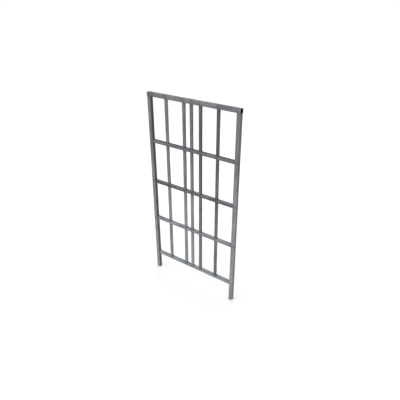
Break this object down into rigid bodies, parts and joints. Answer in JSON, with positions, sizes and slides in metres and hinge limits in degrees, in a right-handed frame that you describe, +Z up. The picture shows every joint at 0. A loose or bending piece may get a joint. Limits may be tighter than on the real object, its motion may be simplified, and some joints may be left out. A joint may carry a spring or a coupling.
{
  "type": "garden gate",
  "caption": "Tall narrow garden gate leaf welded from square steel tube, with uneven upright bars between cross rails, open legs below the bottom rail and plugged tube ends.",
  "frame": {"origin": "on the ground, midway between the two feet, in the middle of the gate's depth", "axes": "+Z up, +X to the right seen from the front, the front faces -Y"},
  "size_m": [0.804, 0.03, 1.59],
  "materials": {
    "frame_tube": "galvanised, dull, faintly mottled",
    "rail_tube": "galvanised, dull, faintly mottled",
    "bar_tube": "galvanised, dull, faintly mottled",
    "end_plug": "black moulded plastic",
    "weld": "rough weld bead, zinc burnt off and greyed"
  },
  "bodies": {
    "root": {"left_stile": "frame_tube", "right_stile": "frame_tube", "top_rail": "frame_tube", "upper_rail": "rail_tube", "middle_rail": "rail_tube", "lower_rail": "rail_tube", "bottom_rail": "rail_tube", "bar_1_top": "bar_tube", "bar_1_upper": "bar_tube", "bar_1_lower": "bar_tube", "bar_1_bottom": "bar_tube", "bar_2_top": "bar_tube", "bar_2_upper": "bar_tube", "bar_2_lower": "bar_tube", "bar_2_bottom": "bar_tube", "bar_3_top": "bar_tube", "bar_3_upper": "bar_tube", "bar_3_lower": "bar_tube", "bar_3_bottom": "bar_tube", "bar_4_top": "bar_tube", "bar_4_upper": "bar_tube", "bar_4_lower": "bar_tube", "bar_4_bottom": "bar_tube", "bar_5_top": "bar_tube", "bar_5_upper": "bar_tube", "bar_5_lower": "bar_tube", "bar_5_bottom": "bar_tube", "left_foot_plug": "end_plug", "right_foot_plug": "end_plug", "top_rail_left_plug": "end_plug", "top_rail_right_plug": "end_plug", "top_rail_welds": "weld", "upper_rail_welds": "weld", "middle_rail_welds": "weld", "lower_rail_welds": "weld", "bottom_rail_welds": "weld"}
  },
  "joints": []
}
